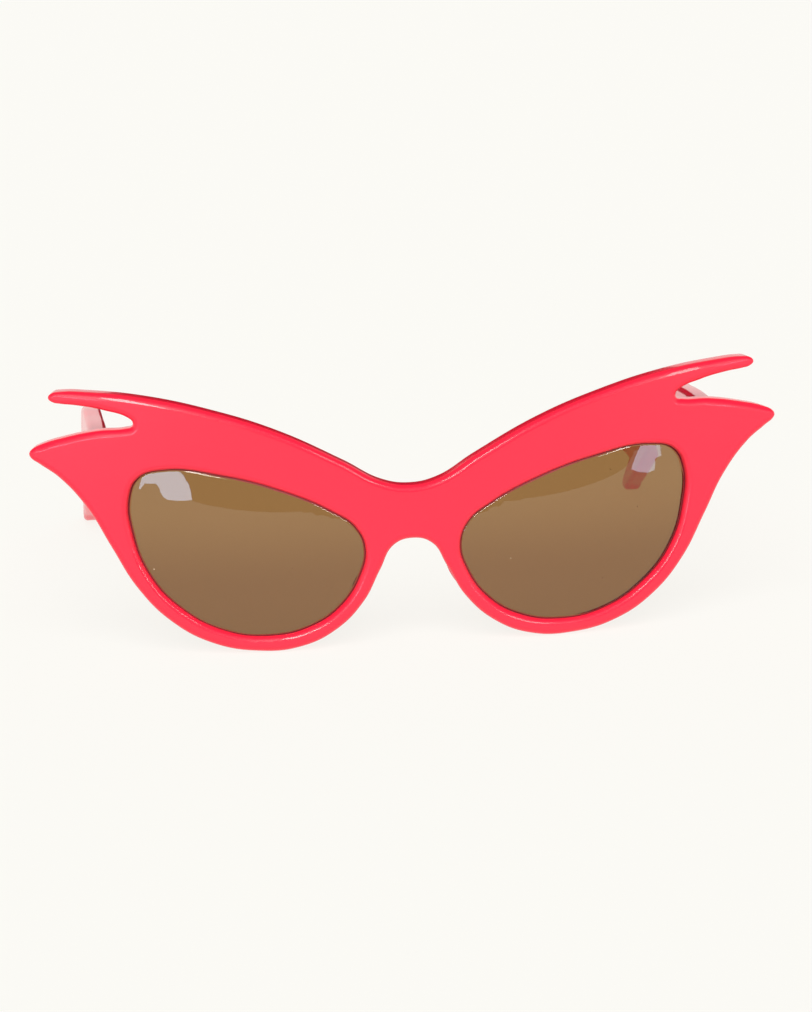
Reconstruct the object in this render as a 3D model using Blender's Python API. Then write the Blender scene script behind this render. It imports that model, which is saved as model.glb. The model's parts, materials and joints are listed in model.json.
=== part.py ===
"""Cat eye sunglasses: an acetate front with two lenses, two folding temples and five-barrel hinges.

Everything is drawn in the front's own upright frame: X to the right as someone facing the front sees
it, Y to the rear and Z up the front. The whole is then leaned back a little and set down on the plane
Z = 0, which it touches with both rims and both temple tips.
"""
import math

import bmesh
import bpy
from mathutils import Matrix, Vector

MM = 0.001

# The front: a flat cut-out plate, bent round a vertical axis behind the wearer's head.
FRONT_THICKNESS = 5.0 * MM
FRONT_ROUNDING = 0.8 * MM
BEND_RADIUS = 480.0 * MM
STRIP = 8.0 * MM
# Right half of its outline in millimetres, from under the bridge round to the top of the bridge.
RIM = [(4.1, -9.2), (7.2, -14.4), (11.0, -21.2), (17.3, -27.2), (25.0, -30.5), (34.0, -31.0),
       (44.0, -28.8), (52.5, -23.7), (59.2, -16.3), (64.5, -6.8), (68.9, 1.4), (74.5, 8.2)]
LOWER_POINT = [(79.0, 11.6), (80.3, 12.7), (80.7, 13.7), (80.1, 14.6), (78.8, 15.3)]
NOTCH = [(73.5, 16.8), (66.0, 18.1), (60.0, 18.4), (58.6, 18.8), (58.3, 19.7), (59.1, 20.6), (64.0, 22.4)]
UPPER_POINT = [(70.0, 23.7), (73.4, 24.2), (75.1, 24.65), (75.9, 25.6), (75.1, 26.5), (73.6, 26.75)]
BROW = [(68.0, 26.5), (56.0, 24.9), (42.0, 21.4), (28.0, 16.4), (14.0, 9.3), (6.0, 4.8)]
BRIDGE_UNDERSIDE = -7.9
BRIDGE_TOP = 3.7
# Right lens opening in millimetres, from the nose round under the eye.
LENS_OPENING = [(10.2, -9.8), (11.5, -15.4), (16.0, -22.0), (23.0, -26.3), (31.5, -27.8), (41.0, -26.3),
                (50.3, -20.9), (56.7, -13.2), (59.7, -4.5), (60.1, 3.4), (57.9, 7.7), (53.0, 9.25),
                (40.0, 7.6), (26.0, 3.2), (17.0, -1.2), (12.1, -4.9)]

# The lenses: a V-shaped edge sits in a groove that runs round each opening.
LENS_THICKNESS = 2.0 * MM
LENS_EDGE_HEIGHT = 0.9 * MM
LENS_CURVE_RADIUS = 265.0 * MM
LENS_CENTRE = (35.0 * MM, -9.3 * MM)
LENS_LEVEL_RADIUS = 22.0 * MM
LENS_INSET = 0.2 * MM
LENS_CELL = 10.0 * MM
GROOVE_DEPTH_BEHIND_FACE = 2.6 * MM
GROOVE_HALF_WIDTH = 1.2 * MM
GROOVE_PLAY = 0.1 * MM

# The hinges.
HINGE_X = 61.4 * MM
HINGE_Z = 12.8 * MM
AXIS_BEHIND_FRONT = 1.8 * MM
BARREL_RADIUS = 1.6 * MM
BARREL_BORE_RADIUS = 0.85 * MM
BARREL_SIDES = 20
BORE_SIDES = 12
KNUCKLES = 5
KNUCKLE_HEIGHT = 1.05 * MM
NECK_REACH = 0.6 * MM
LEAF_THICKNESS = 0.8 * MM
LEAF_HALF_HEIGHT = 3.2 * MM
FRONT_LEAF_REACH = 3.6 * MM
TEMPLE_LEAF_REACH = 8.0 * MM
LEAF_OVERLAP = 1.0 * MM
CLEARANCE = 0.3 * MM
SCREW_RADIUS = 0.6 * MM
SCREW_SIDES = 16
SCREW_HEAD_RADIUS = 1.15 * MM
SCREW_HEAD_HEIGHT = 0.7 * MM
SCREW_HEAD_SIDES = 24
SCREW_SLOT = 0.35 * MM

# The temples. Heights are on the front's scale; distances run back from the hinge axis.
TEMPLE_THICKNESS = 4.2 * MM
TEMPLE_INSIDE = 2.0 * MM
TEMPLE_ROUNDING = 0.7 * MM
TEMPLE_TOP = [(-8.0, 17.3), (2.0, 17.1), (14.0, 16.6), (28.0, 15.5), (55.0, 13.2), (67.0, 10.6),
              (80.0, 2.9), (99.0, -10.9), (116.0, -21.1)]
TEMPLE_TIP = [(121.3, -24.7), (122.2, -26.4), (120.6, -27.4)]
TEMPLE_BOTTOM = [(112.0, -24.4), (96.0, -17.6), (76.0, -9.0), (58.0, -3.0), (40.0, 0.7), (20.0, 2.8),
                 (2.0, 3.9), (-8.0, 4.5)]
CORE_ROUTE = [(20.0, 9.6), (38.0, 7.6), (55.0, 5.2), (67.0, 2.4), (80.0, -3.9), (98.0, -14.4), (111.0, -21.4)]
CORE_START = 8.7 * MM
CORE_START_LIFT = 0.8
CHANNEL_LEAD_IN = 1.2 * MM
CORE_END_GAP = 0.6 * MM
CORE_START_X = 3.4 * MM
CORE_X = 4.1 * MM
CORE_RADIUS = 0.7 * MM
FULL_SPLAY = math.radians(6.5)
LEFT_SPLAY = math.radians(2.5)
RIGHT_SPLAY = math.radians(2.0)

# The nose pads, glued to the back of the rims beside the nose.
PAD_CENTRE = (10.7 * MM, -17.3 * MM)
PAD_HALF_SIZE = (1.9 * MM, 4.0 * MM, 5.6 * MM)
PAD_SLANT = math.radians(32.0)

WELD = 0.000001
FLAT_ANGLE = math.radians(0.02)
MOST_LEAN = math.radians(5.0)
LEAN_STEPS = 40


def material(name, colour, roughness, metallic=0.0):
    """A plain Principled material for one kind of piece."""
    mat = bpy.data.materials.new(name)
    mat.use_nodes = True
    shader = mat.node_tree.nodes["Principled BSDF"]
    shader.inputs["Base Color"].default_value = (*colour, 1.0)
    shader.inputs["Roughness"].default_value = roughness
    shader.inputs["Metallic"].default_value = metallic
    return mat


def add_object(name, mesh, collection):
    obj = bpy.data.objects.new(name, mesh)
    collection.objects.link(obj)
    return obj


def box(low, high):
    """A bmesh box between two corners."""
    bm = bmesh.new()
    bmesh.ops.create_cube(bm, size=1.0)
    size = [b - a for a, b in zip(low, high)]
    centre = [(a + b) / 2 for a, b in zip(low, high)]
    bmesh.ops.scale(bm, vec=size, verts=bm.verts)
    bmesh.ops.translate(bm, vec=centre, verts=bm.verts)
    return bm


def cylinder(radius, z_low, z_high, segments):
    """A bmesh cylinder round the Z axis."""
    bm = bmesh.new()
    bmesh.ops.create_cone(bm, cap_ends=True, segments=segments, radius1=radius, radius2=radius,
                          depth=z_high - z_low)
    bmesh.ops.translate(bm, vec=(0.0, 0.0, (z_low + z_high) / 2), verts=bm.verts)
    return bm


def to_mesh(bm, name):
    mesh = bpy.data.meshes.new(name)
    bm.to_mesh(mesh)
    bm.free()
    return mesh


def curve_solid(name, loops, half_depth, rounding, rounding_steps, smoothness):
    """The mesh of smooth closed outlines (millimetres, X and Y) given a thickness and rounded edges."""
    curve = bpy.data.curves.new(name, "CURVE")
    curve.dimensions = "2D"
    curve.fill_mode = "BOTH"
    curve.extrude = half_depth - rounding
    curve.bevel_depth = rounding
    curve.offset = -rounding
    curve.bevel_resolution = rounding_steps
    curve.resolution_u = smoothness
    for loop in loops:
        spline = curve.splines.new("BEZIER")
        spline.bezier_points.add(len(loop) - 1)
        spline.use_cyclic_u = True
        for knot, (x, y) in zip(spline.bezier_points, loop):
            knot.co = (x * MM, y * MM, 0.0)
            knot.handle_left_type = "AUTO"
            knot.handle_right_type = "AUTO"
    return evaluated_curve(curve)


def evaluated_curve(curve):
    """The closed mesh of a curve: its caps are welded on and the curve is removed."""
    obj = add_object(curve.name, curve, bpy.context.scene.collection)
    graph = bpy.context.evaluated_depsgraph_get()
    graph.update()
    mesh = bpy.data.meshes.new_from_object(obj.evaluated_get(graph))
    bpy.data.objects.remove(obj)
    bpy.data.curves.remove(curve)
    bm = bmesh.new()
    bm.from_mesh(mesh)
    bpy.data.meshes.remove(mesh)
    bmesh.ops.remove_doubles(bm, verts=bm.verts, dist=WELD)
    bmesh.ops.recalc_face_normals(bm, faces=bm.faces)
    return bm


def wire(name, points, radius):
    """A round wire with filled ends along a smooth line of points (metres)."""
    curve = bpy.data.curves.new(name, "CURVE")
    curve.dimensions = "3D"
    curve.bevel_depth = radius
    curve.bevel_resolution = 2
    curve.use_fill_caps = True
    curve.resolution_u = 3
    spline = curve.splines.new("BEZIER")
    spline.bezier_points.add(len(points) - 1)
    for knot, point in zip(spline.bezier_points, points):
        knot.co = point
        knot.handle_left_type = "AUTO"
        knot.handle_right_type = "AUTO"
    return evaluated_curve(curve)


def cut(obj, cutter_mesh, cutters, place=None):
    """Take a cutter out of an object for good, and keep the cutter in its own collection."""
    cutter = add_object(f"{cutter_mesh.name}_cutter", cutter_mesh, cutters)
    cutter.matrix_world = place or Matrix.Identity(4)
    cutter.hide_render = True
    cutter.display_type = "WIRE"
    modifier = obj.modifiers.new("cut", "BOOLEAN")
    modifier.operation = "DIFFERENCE"
    modifier.solver = "EXACT"
    modifier.object = cutter
    graph = bpy.context.evaluated_depsgraph_get()
    graph.update()
    mesh = bpy.data.meshes.new_from_object(obj.evaluated_get(graph))
    obj.modifiers.clear()
    obj.data = mesh


def join(bm, other):
    """Unite a second bmesh solid with the first by an exact Boolean."""
    scene = bpy.context.scene.collection
    first = add_object("first", to_mesh(bm, "first"), scene)
    second = add_object("second", to_mesh(other, "second"), scene)
    modifier = first.modifiers.new("join", "BOOLEAN")
    modifier.operation = "UNION"
    modifier.solver = "EXACT"
    modifier.object = second
    graph = bpy.context.evaluated_depsgraph_get()
    graph.update()
    mesh = bpy.data.meshes.new_from_object(first.evaluated_get(graph))
    united = bmesh.new()
    united.from_mesh(mesh)
    for leftover in (first, second):
        bpy.data.objects.remove(leftover)
    return united


def mirrored(mesh, name):
    """A left-hand copy of a right-hand mesh."""
    bm = bmesh.new()
    bm.from_mesh(mesh)
    bmesh.ops.scale(bm, vec=(-1.0, 1.0, 1.0), verts=bm.verts)
    bmesh.ops.reverse_faces(bm, faces=bm.faces)
    return to_mesh(bm, name)


def even_triangles(mesh):
    """Redraw the flat faces of a mesh as well-shaped triangles."""
    bm = bmesh.new()
    bm.from_mesh(mesh)
    bmesh.ops.dissolve_limit(bm, angle_limit=FLAT_ANGLE, verts=bm.verts, edges=bm.edges)
    bmesh.ops.triangulate(bm, faces=bm.faces, quad_method="BEAUTY", ngon_method="BEAUTY")
    bm.to_mesh(mesh)
    bm.free()


def shade(mesh, mat, angle=math.radians(35.0)):
    mesh.materials.clear()
    mesh.materials.append(mat)
    mesh.shade_smooth()
    mesh.set_sharp_from_angle(angle=angle)


def lens_dish(across, up):
    """How much further back a lens lies at a point than on its level circle."""
    from_centre = (abs(across) - LENS_CENTRE[0]) ** 2 + (up - LENS_CENTRE[1]) ** 2
    return (from_centre - LENS_LEVEL_RADIUS ** 2) / (2 * LENS_CURVE_RADIUS)


def bent(across, depth, up):
    """The place of a point of the flat plate after the bend: across and up its face, depth behind it."""
    radius = BEND_RADIUS - depth
    angle = across / BEND_RADIUS
    return Vector((radius * math.sin(angle), BEND_RADIUS - radius * math.cos(angle), up))


def slice_plate(bm, axis, step):
    """Cut a flat plate into strips, so that it can bend."""
    spread = [v.co[axis] for v in bm.verts]
    first = math.ceil(min(spread) / step)
    last = math.floor(max(spread) / step)
    normal = Vector((0.0, 0.0, 0.0))
    normal[axis] = 1.0
    for index in range(first, last + 1):
        everything = [*bm.verts, *bm.edges, *bm.faces]
        point = normal * (index * step + WELD)
        bmesh.ops.bisect_plane(bm, geom=everything, dist=WELD, plane_co=point, plane_no=normal)


def bend_plate(bm, middle_depth, dished=False):
    """Stand a flat plate up behind the front's face and bend it with the front."""
    for vert in bm.verts:
        across, up, out = vert.co
        depth = middle_depth - out
        if dished:
            depth += lens_dish(across, up)
        vert.co = bent(across, depth, up)


def flipped(loop):
    """The left-hand twin of an outline, running the same way round."""
    return [(-x, y) for x, y in reversed(loop)]


def grown(loop, amount):
    """An outline moved outwards by an amount in millimetres."""
    out = []
    for index, point in enumerate(loop):
        before = Vector(loop[index - 1])
        after = Vector(loop[(index + 1) % len(loop)])
        along = (after - before).normalized()
        out.append((point[0] + along.y * amount, point[1] - along.x * amount))
    return out


def front_outline():
    half = [*RIM, *LOWER_POINT, *NOTCH, *UPPER_POINT, *BROW]
    return [(0.0, BRIDGE_UNDERSIDE), *half, (0.0, BRIDGE_TOP), *flipped(half)]


def make_front(collection, cutters, mat):
    """The front: cut-out plate, bent, with a lens groove and a hinge pocket on each side."""
    loops = [front_outline(), LENS_OPENING[::-1], flipped(LENS_OPENING)[::-1]]
    bm = curve_solid("front_plate", loops, FRONT_THICKNESS / 2, FRONT_ROUNDING, 1, 3)
    slice_plate(bm, 0, STRIP)
    bend_plate(bm, FRONT_THICKNESS / 2)
    front = add_object("frame_front", to_mesh(bm, "frame_front"), collection)
    for side, loop in ((1, LENS_OPENING), (-1, flipped(LENS_OPENING))):
        name = "right" if side > 0 else "left"
        wide = grown(loop, (GROOVE_HALF_WIDTH - GROOVE_PLAY) / MM)
        groove = curve_solid("groove", [wide], GROOVE_HALF_WIDTH + WELD, GROOVE_HALF_WIDTH, 0, 3)
        bend_plate(groove, GROOVE_DEPTH_BEHIND_FACE, dished=True)
        cut(front, to_mesh(groove, f"groove_{name}"), cutters)
        low = (-FRONT_LEAF_REACH - CLEARANCE, -AXIS_BEHIND_FRONT - LEAF_THICKNESS - CLEARANCE,
               -LEAF_HALF_HEIGHT - CLEARANCE)
        high = (LEAF_OVERLAP + CLEARANCE, 0.0, LEAF_HALF_HEIGHT + CLEARANCE)
        pocket = to_mesh(box(low, high), f"pocket_{name}")
        if side < 0:
            pocket = mirrored(pocket, "pocket_left")
        cut(front, pocket, cutters, front_hinge_place(side))
    shade(front.data, mat)
    return front


def make_lens(side, collection, mat):
    """One lens: a dished plate whose edge is cut to a V."""
    loop = LENS_OPENING if side > 0 else flipped(LENS_OPENING)
    wide = grown(loop, (LENS_EDGE_HEIGHT - LENS_INSET) / MM)
    bm = curve_solid("lens", [wide], LENS_THICKNESS / 2, LENS_EDGE_HEIGHT, 0, 3)
    slice_plate(bm, 0, LENS_CELL)
    slice_plate(bm, 1, LENS_CELL)
    bend_plate(bm, GROOVE_DEPTH_BEHIND_FACE, dished=True)
    name = "lens_right" if side > 0 else "lens_left"
    lens = add_object(name, to_mesh(bm, name), collection)
    shade(lens.data, mat)
    return lens


def make_pad(side, collection, mat):
    """One nose pad: the rear half of a long ellipsoid, slanted along the rim."""
    bm = bmesh.new()
    bmesh.ops.create_uvsphere(bm, u_segments=20, v_segments=10, radius=1.0)
    bmesh.ops.rotate(bm, cent=(0.0, 0.0, 0.0), matrix=Matrix.Rotation(math.pi / 2, 3, "X"), verts=bm.verts)
    bmesh.ops.scale(bm, vec=PAD_HALF_SIZE, verts=bm.verts)
    everything = [*bm.verts, *bm.edges, *bm.faces]
    bmesh.ops.bisect_plane(bm, geom=everything, dist=WELD, plane_co=(0.0, 0.0, 0.0),
                           plane_no=(0.0, 1.0, 0.0), clear_inner=True)
    bmesh.ops.edgeloop_fill(bm, edges=[edge for edge in bm.edges if edge.is_boundary])
    bmesh.ops.recalc_face_normals(bm, faces=bm.faces)
    bmesh.ops.rotate(bm, cent=(0.0, 0.0, 0.0), matrix=Matrix.Rotation(-PAD_SLANT, 3, "Y"), verts=bm.verts)
    name = "nose_pad_right" if side > 0 else "nose_pad_left"
    mesh = to_mesh(bm, name)
    if side < 0:
        mesh = mirrored(mesh, name)
    pad = add_object(name, mesh, collection)
    pad.location = bent(side * PAD_CENTRE[0], FRONT_THICKNESS + CLEARANCE, PAD_CENTRE[1])
    pad.rotation_euler.z = side * PAD_CENTRE[0] / BEND_RADIUS
    shade(pad.data, mat)
    return pad


def hinge_point(side):
    """The middle of the hinge axis, behind the back of the front."""
    point = bent(BEND_RADIUS * wrap_angle(), FRONT_THICKNESS + AXIS_BEHIND_FRONT, HINGE_Z)
    return Vector((side * point.x, point.y, point.z))


def wrap_angle():
    """How far the bent front has turned at the hinge."""
    return math.asin(HINGE_X / (BEND_RADIUS - FRONT_THICKNESS - AXIS_BEHIND_FRONT))


def front_hinge_place(side):
    return Matrix.Translation(hinge_point(side)) @ Matrix.Rotation(side * wrap_angle(), 4, "Z")


def knuckle_span(index):
    """Bottom and top of one knuckle; they share the leaf's height with a gap between neighbours."""
    pitch = (2 * LEAF_HALF_HEIGHT - KNUCKLE_HEIGHT) / (KNUCKLES - 1)
    bottom = -LEAF_HALF_HEIGHT + index * pitch
    return bottom, bottom + KNUCKLE_HEIGHT


def make_leaf(name, side, plate, neck_low, neck_high, indices, collection, mat):
    """A hinge leaf: a flat plate and its knuckles, bored for the screw."""
    bm = plate
    for index in indices:
        bottom, top = knuckle_span(index)
        bm = join(bm, box((*neck_low, bottom), (*neck_high, top)))
        bm = join(bm, cylinder(BARREL_RADIUS, bottom, top, BARREL_SIDES))
    reach = LEAF_HALF_HEIGHT + CLEARANCE
    bore = cylinder(BARREL_BORE_RADIUS, -reach, reach, BORE_SIDES)
    leaf = add_object(name, to_mesh(bm, name), collection)
    cut(leaf, to_mesh(bore, f"{name}_bore"), bpy.data.collections["cutters"])
    if side < 0:
        leaf.data = mirrored(leaf.data, name)
    shade(leaf.data, mat)
    return leaf


def make_front_leaf(side, collection, mat):
    back = -AXIS_BEHIND_FRONT
    plate = box((-FRONT_LEAF_REACH, back - LEAF_THICKNESS, -LEAF_HALF_HEIGHT),
                (LEAF_OVERLAP, back, LEAF_HALF_HEIGHT))
    name = "front_hinge_leaf_right" if side > 0 else "front_hinge_leaf_left"
    neck_low = (-BARREL_RADIUS, back - LEAF_THICKNESS / 2)
    leaf = make_leaf(name, side, plate, neck_low, (NECK_REACH, 0.0), (0, 2, 4), collection, mat)
    leaf.matrix_world = front_hinge_place(side)
    return leaf


def make_temple_leaf(side, splay, collection, mat):
    low = (TEMPLE_INSIDE, -LEAF_THICKNESS, -LEAF_HALF_HEIGHT)
    high = (TEMPLE_INSIDE + LEAF_THICKNESS, TEMPLE_LEAF_REACH, LEAF_HALF_HEIGHT)
    name = "temple_hinge_leaf_right" if side > 0 else "temple_hinge_leaf_left"
    neck_low = (0.0, -LEAF_THICKNESS)
    neck_high = (TEMPLE_INSIDE + LEAF_THICKNESS / 2, BARREL_RADIUS)
    leaf = make_leaf(name, side, box(low, high), neck_low, neck_high, (1, 3), collection, mat)
    leaf.matrix_world = temple_place(side, splay)
    return leaf


def make_screw(side, collection, mat):
    """The hinge screw, with its slotted head above the top knuckle."""
    under_head = LEAF_HALF_HEIGHT + CLEARANCE
    top = under_head + SCREW_HEAD_HEIGHT
    shank = cylinder(SCREW_RADIUS, -LEAF_HALF_HEIGHT, top - SCREW_HEAD_HEIGHT / 2, SCREW_SIDES)
    name = "hinge_screw_right" if side > 0 else "hinge_screw_left"
    bm = join(shank, cylinder(SCREW_HEAD_RADIUS, under_head, top, SCREW_HEAD_SIDES))
    screw = add_object(name, to_mesh(bm, name), collection)
    across = SCREW_HEAD_RADIUS + CLEARANCE
    slot = box((-across, -SCREW_SLOT / 2, top - SCREW_SLOT), (across, SCREW_SLOT / 2, top + SCREW_SLOT))
    cut(screw, to_mesh(slot, f"{name}_slot"), bpy.data.collections["cutters"])
    screw.location = hinge_point(side)
    shade(screw.data, mat)
    return screw


def temple_place(side, splay):
    return Matrix.Translation(hinge_point(side)) @ Matrix.Rotation(-side * splay, 4, "Z")


def temple_core_points():
    """The line of the metal core inside a temple, from behind the hinge leaf to the tip."""
    level = HINGE_Z / MM
    points = [(CORE_START_X, CORE_START, (CORE_ROUTE[0][1] + CORE_START_LIFT - level) * MM)]
    points += [(CORE_X, back * MM, (up - level) * MM) for back, up in CORE_ROUTE]
    return points


def make_temple(side, splay, collection, cutters, mat):
    """A temple: a flat profile with rounded edges, mitred at the front, bored for its core."""
    level = HINGE_Z / MM
    loop = [(back, up - level) for back, up in (*TEMPLE_BOTTOM[::-1], *TEMPLE_TIP[::-1], *TEMPLE_TOP[::-1])]
    bm = curve_solid("temple", [loop], TEMPLE_THICKNESS / 2, TEMPLE_ROUNDING, 1, 4)
    middle = TEMPLE_INSIDE + TEMPLE_THICKNESS / 2
    for vert in bm.verts:
        back, up, out = vert.co
        vert.co = (middle + out, back, up)
    mitre = wrap_angle() + FULL_SPLAY
    butt_normal = Vector((math.sin(mitre), -math.cos(mitre), 0.0))
    butt_point = butt_normal * (AXIS_BEHIND_FRONT - CLEARANCE)
    everything = [*bm.verts, *bm.edges, *bm.faces]
    ends = bmesh.ops.bisect_plane(bm, geom=everything, dist=WELD, plane_co=butt_point, plane_no=butt_normal,
                                  clear_outer=True)
    rim = [edge for edge in ends["geom_cut"] if isinstance(edge, bmesh.types.BMEdge)]
    bmesh.ops.edgeloop_fill(bm, edges=rim)
    bmesh.ops.recalc_face_normals(bm, faces=bm.faces)
    name = "temple_right" if side > 0 else "temple_left"
    temple = add_object(name, to_mesh(bm, name), collection)
    pocket = box((0.0, -2 * AXIS_BEHIND_FRONT, -LEAF_HALF_HEIGHT - CLEARANCE),
                 (TEMPLE_INSIDE + LEAF_THICKNESS + CLEARANCE, TEMPLE_LEAF_REACH + CLEARANCE,
                  LEAF_HALF_HEIGHT + CLEARANCE))
    cut(temple, to_mesh(pocket, f"{name}_pocket"), cutters)
    points = temple_core_points()
    start = (CORE_START_X, CORE_START - CHANNEL_LEAD_IN, points[0][2])
    channel = wire("channel", [start, *points], CORE_RADIUS + CLEARANCE)
    cut(temple, to_mesh(channel, f"{name}_channel"), cutters)
    if side < 0:
        temple.data = mirrored(temple.data, name)
    even_triangles(temple.data)
    temple.matrix_world = temple_place(side, splay)
    shade(temple.data, mat)
    return temple


def make_core(side, splay, collection, mat):
    """The metal core of a temple, a little shorter than its channel."""
    points = temple_core_points()
    last = Vector(points[-1])
    before = Vector(points[-2])
    points[-1] = tuple(last - (last - before).normalized() * CORE_END_GAP)
    name = "temple_core_right" if side > 0 else "temple_core_left"
    mesh = to_mesh(wire("core", points, CORE_RADIUS), name)
    if side < 0:
        mesh = mirrored(mesh, name)
    core = add_object(name, mesh, collection)
    core.matrix_world = temple_place(side, splay)
    shade(core.data, mat)
    return core


def lowest(objects, lean):
    """The lowest height of some objects once the front's frame leans back."""
    turn = Matrix.Rotation(-lean, 4, "X")
    return min((turn @ obj.matrix_basis @ vert.co).z for obj in objects for vert in obj.data.vertices)


def set_down(objects, collection):
    """Lean everything back until rims and tips touch one plane, and centre it on the origin."""
    front = [obj for obj in objects if obj.name == "frame_front"]
    temples = [obj for obj in objects if obj.name in ("temple_left", "temple_right")]
    shallow = 0.0
    steep = MOST_LEAN
    for _ in range(LEAN_STEPS):
        lean = (shallow + steep) / 2
        if lowest(temples, lean) > lowest(front, lean):
            shallow = lean
        else:
            steep = lean
    turn = Matrix.Rotation(-lean, 4, "X")
    points = [turn @ obj.matrix_basis @ vert.co for obj in objects for vert in obj.data.vertices]
    datum = bpy.data.objects.new("wearing_datum", None)
    collection.objects.link(datum)
    middle = [(min(p[axis] for p in points) + max(p[axis] for p in points)) / 2 for axis in (0, 1)]
    datum.location = (-middle[0], -middle[1], -min(p.z for p in points))
    datum.rotation_euler.x = -lean
    for obj in objects:
        obj.parent = datum


def build():
    for old in list(bpy.data.objects):
        bpy.data.objects.remove(old)
    collection = bpy.data.collections.new("cat_eye_sunglasses")
    cutters = bpy.data.collections.new("cutters")
    for each in (collection, cutters):
        bpy.context.scene.collection.children.link(each)
    acetate = material("coral_acetate", (1.0, 0.06, 0.10), 0.18)
    tint = material("brown_lens", (0.27, 0.16, 0.09), 0.05)
    nickel = material("nickel_silver", (0.72, 0.70, 0.66), 0.3, 1.0)
    objects = [make_front(collection, cutters, acetate)]
    for side, splay in ((1, RIGHT_SPLAY), (-1, LEFT_SPLAY)):
        objects.append(make_lens(side, collection, tint))
        objects.append(make_pad(side, collection, acetate))
        objects.append(make_front_leaf(side, collection, nickel))
        objects.append(make_temple_leaf(side, splay, collection, nickel))
        objects.append(make_screw(side, collection, nickel))
        objects.append(make_temple(side, splay, collection, cutters, acetate))
        objects.append(make_core(side, splay, collection, nickel))
    set_down(objects, collection)


build()
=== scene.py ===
# %% [markdown]
# # Cat eye sunglasses in coral acetate
#
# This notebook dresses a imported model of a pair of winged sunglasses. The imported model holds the
# sizes, the bodies and the hinges. Each cell below makes one piece or one finish and says why it is
# made that way. Lengths are written in millimetres and multiplied by MM, because Blender counts in metres.

import json
import math

import bmesh
import bpy
import numpy as np
from mathutils import Matrix, Vector
from mathutils.geometry import delaunay_2d_cdt


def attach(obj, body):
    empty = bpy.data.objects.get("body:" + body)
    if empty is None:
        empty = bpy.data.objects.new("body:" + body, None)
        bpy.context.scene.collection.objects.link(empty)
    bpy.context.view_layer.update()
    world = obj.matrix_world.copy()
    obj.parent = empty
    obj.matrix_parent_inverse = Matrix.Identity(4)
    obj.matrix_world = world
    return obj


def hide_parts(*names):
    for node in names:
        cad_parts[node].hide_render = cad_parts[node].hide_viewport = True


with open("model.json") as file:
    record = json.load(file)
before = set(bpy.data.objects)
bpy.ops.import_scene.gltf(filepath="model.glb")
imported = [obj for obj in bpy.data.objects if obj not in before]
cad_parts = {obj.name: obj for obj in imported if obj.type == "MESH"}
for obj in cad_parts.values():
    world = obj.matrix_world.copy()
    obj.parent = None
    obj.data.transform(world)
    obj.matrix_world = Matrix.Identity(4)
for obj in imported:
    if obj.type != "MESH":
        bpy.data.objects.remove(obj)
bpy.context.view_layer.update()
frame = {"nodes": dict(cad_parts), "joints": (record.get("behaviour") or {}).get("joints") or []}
MM = 0.001

# %% [markdown]
# ## Where the front stands
#
# The front leans back a little on the table, so its own upright directions aren't the room's. They
# can be read from the two hinges: the line between them runs across the front, and their pins run up
# it. Everything is drawn in that upright frame and carried into the room by one matrix. Measuring the
# frame from the joints, and not typing angles again, keeps the looks exactly on the working model.

# %% The front's own directions
HINGE_HEIGHT = 12.8
FRONT_THICKNESS = 5.0
AXIS_BEHIND_FRONT = 1.8
BEND_RADIUS = 480.0
hinges = {joint["child"]: Vector(joint["pos_m"]) for joint in frame["joints"]}
pins = {joint["child"]: Vector(joint["axis"]) for joint in frame["joints"]}
across_axis = (hinges["right_temple"] - hinges["left_temple"]).normalized()
up_axis = pins["right_temple"].normalized()
back_axis = up_axis.cross(across_axis)
hinge_x = (hinges["right_temple"] - hinges["left_temple"]).length / 2 / MM
pin_radius = BEND_RADIUS - FRONT_THICKNESS - AXIS_BEHIND_FRONT
wrap_angle = math.asin(hinge_x / pin_radius)
hinge_y = BEND_RADIUS - pin_radius * math.cos(wrap_angle)
middle = (hinges["right_temple"] + hinges["left_temple"]) / 2
datum = middle - back_axis * hinge_y * MM - up_axis * HINGE_HEIGHT * MM
turn = Matrix((across_axis, back_axis, up_axis)).transposed()
upright = Matrix.Translation(datum) @ turn.to_4x4() @ Matrix.Scale(MM, 4)
print(f"hinges {2 * hinge_x:.1f} mm apart, {hinge_y:.2f} mm behind the bridge's face")

# %% [markdown]
# ## Camera
#
# The camera stands in front and a little to one side, looking down at the glasses by a few degrees. It
# is set up in the front's frame: turned, tipped and rolled about a point on the bridge. A long lens at
# arm's length gives the calm perspective of a catalogue view.

# %% Camera
CAMERA_DISTANCE = 600.0
CAMERA_TURN = math.radians(-5.11)
CAMERA_TIP = math.radians(12.0)
CAMERA_ROLL = math.radians(-2.17)
CAMERA_AIM = Vector((-1.48, 0.0, 0.0))
CAMERA_NUDGE = (0.22, -0.58)
FOCAL_LENGTH = 100.5
FAR_CLIP = 200.0

back = Vector((math.sin(CAMERA_TURN) * math.cos(CAMERA_TIP), -math.cos(CAMERA_TURN) * math.cos(CAMERA_TIP),
               math.sin(CAMERA_TIP)))
level_right = Vector((0.0, 0.0, 1.0)).cross(back).normalized()
level_up = back.cross(level_right)
right = level_right * math.cos(CAMERA_ROLL) + level_up * math.sin(CAMERA_ROLL)
up = level_up * math.cos(CAMERA_ROLL) - level_right * math.sin(CAMERA_ROLL)
eye = CAMERA_AIM + back * CAMERA_DISTANCE
back = (eye - CAMERA_AIM - right * CAMERA_NUDGE[0] - up * CAMERA_NUDGE[1]).normalized()
right = up.cross(back).normalized()
up = back.cross(right)
camera_data = bpy.data.cameras.new("catalogue_camera")
camera_data.lens = FOCAL_LENGTH
camera_data.clip_end = FAR_CLIP
camera = bpy.data.objects.new("catalogue_camera", camera_data)
aim = turn @ Matrix((right, up, back)).transposed()
camera.matrix_world = Matrix.Translation(upright @ eye) @ aim.to_4x4()
bpy.context.scene.collection.objects.link(camera)
bpy.context.scene.camera = camera
print("camera at", [round(c, 3) for c in camera.matrix_world.translation])

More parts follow.
